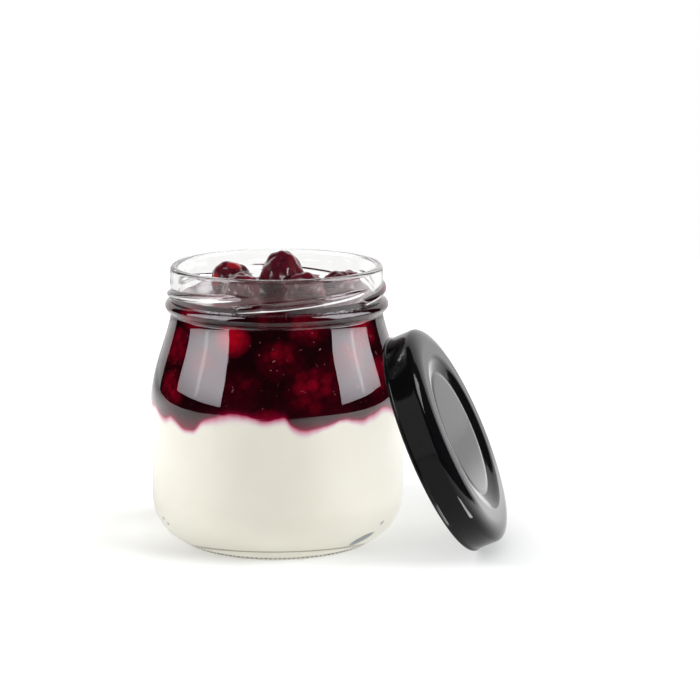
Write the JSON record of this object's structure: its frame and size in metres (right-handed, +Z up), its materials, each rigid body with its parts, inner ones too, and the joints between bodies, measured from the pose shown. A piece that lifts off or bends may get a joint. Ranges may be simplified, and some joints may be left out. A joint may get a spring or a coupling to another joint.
{
  "type": "round glass jar of yogurt and berry compote",
  "caption": "Squat round glass jar with a threaded neck, filled with yogurt under berry compote and topped with berries, its black twist-off cap leaning on it.",
  "frame": {"origin": "on the floor, under the middle of the whole, jar and leaning cap together", "axes": "+Z up along the jar's axis, +X from the jar towards the leaning cap, -Y the front"},
  "size_m": [0.1084, 0.0856, 0.0875],
  "materials": {
    "clear_glass": "clear flint glass, polished",
    "yogurt": "smooth moist warm white",
    "compote": "wet dark red fruit gel",
    "berry": "wet dark red berry skin",
    "black_lacquer": "gloss black lacquer on pressed sheet"
  },
  "bodies": {
    "root": {"glass_jar": "clear_glass", "yogurt": "yogurt", "compote": "compote", "berry_crown": "berry", "berry_left": "berry", "berry_left_front": "berry", "berry_right_front": "berry", "berry_right": "berry", "berry_right_rear": "berry", "berry_rear": "berry", "berry_left_rear": "berry", "lid": "black_lacquer"}
  },
  "joints": []
}
